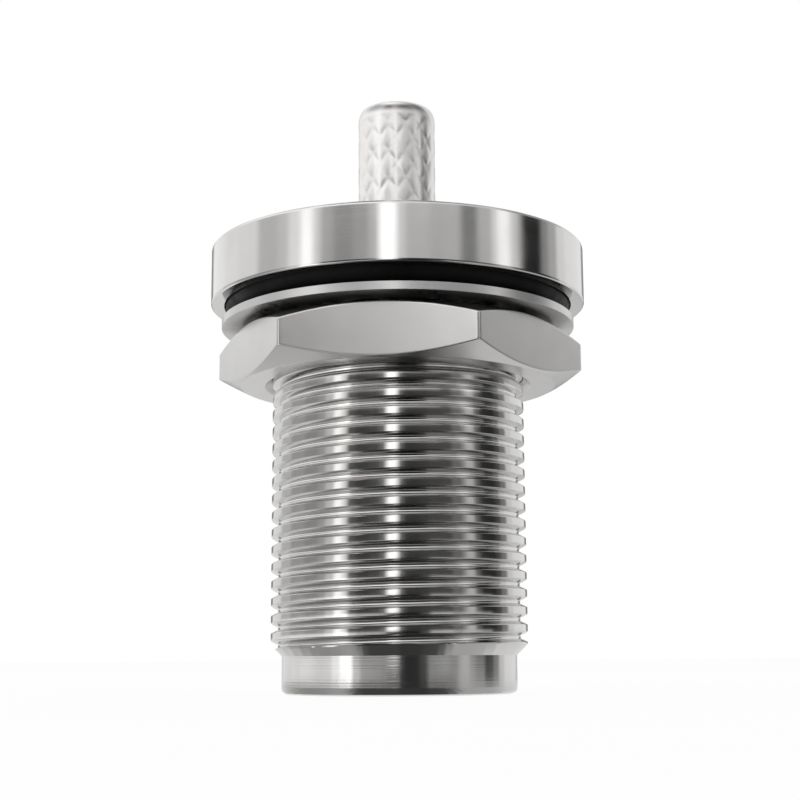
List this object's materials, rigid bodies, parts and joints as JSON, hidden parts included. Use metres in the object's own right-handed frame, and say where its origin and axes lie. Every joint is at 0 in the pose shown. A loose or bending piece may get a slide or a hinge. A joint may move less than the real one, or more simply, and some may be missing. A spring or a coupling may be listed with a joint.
{
  "type": "n type connector",
  "caption": "Flanged coaxial bulkhead jack with a threaded barrel, panel nut, lock washer, sealing ring, spring contact and knurled crimp stem.",
  "frame": {"origin": "centre of the mating face, the ring that the connector stands on", "axes": "+Z along the connector's axis, from the mating face to the crimp stem; X and Y across it"},
  "size_m": [0.0238, 0.0238, 0.0375],
  "materials": {
    "bright_nickel": "turned brass, bright nickel plate",
    "satin_nickel": "knurled brass, satin nickel plate",
    "nut_nickel": "milled brass, satin nickel plate",
    "washer_nickel": "stamped spring steel, nickel plate",
    "seal_rubber": "smooth black moulded rubber",
    "insulator_white": "turned white fluoropolymer",
    "contact_gold": "thin gold plate"
  },
  "bodies": {
    "jack": {"shell": "bright_nickel", "crimp_stem": "satin_nickel", "seal_ring": "seal_rubber", "front_insulator": "insulator_white", "rear_insulator": "insulator_white", "center_contact": "contact_gold"},
    "washer": {"lock_washer": "washer_nickel"},
    "nut": {"hex_nut": "nut_nickel"}
  },
  "joints": [
    {"name": "washer_slide", "type": "slide", "parent": "jack", "child": "washer", "axis": [0, 0, -1], "range_m": [0, 0.01588]},
    {"name": "nut_turn", "type": "hinge", "parent": "washer", "child": "nut", "pos_m": [0, 0, 0], "axis": [0, 0, -1], "range_deg": [0, 5400]}
  ],
  "couplings": [
    {"joint": "washer_slide", "follows": "nut_turn", "m_per_rad": 0.00016843}
  ]
}
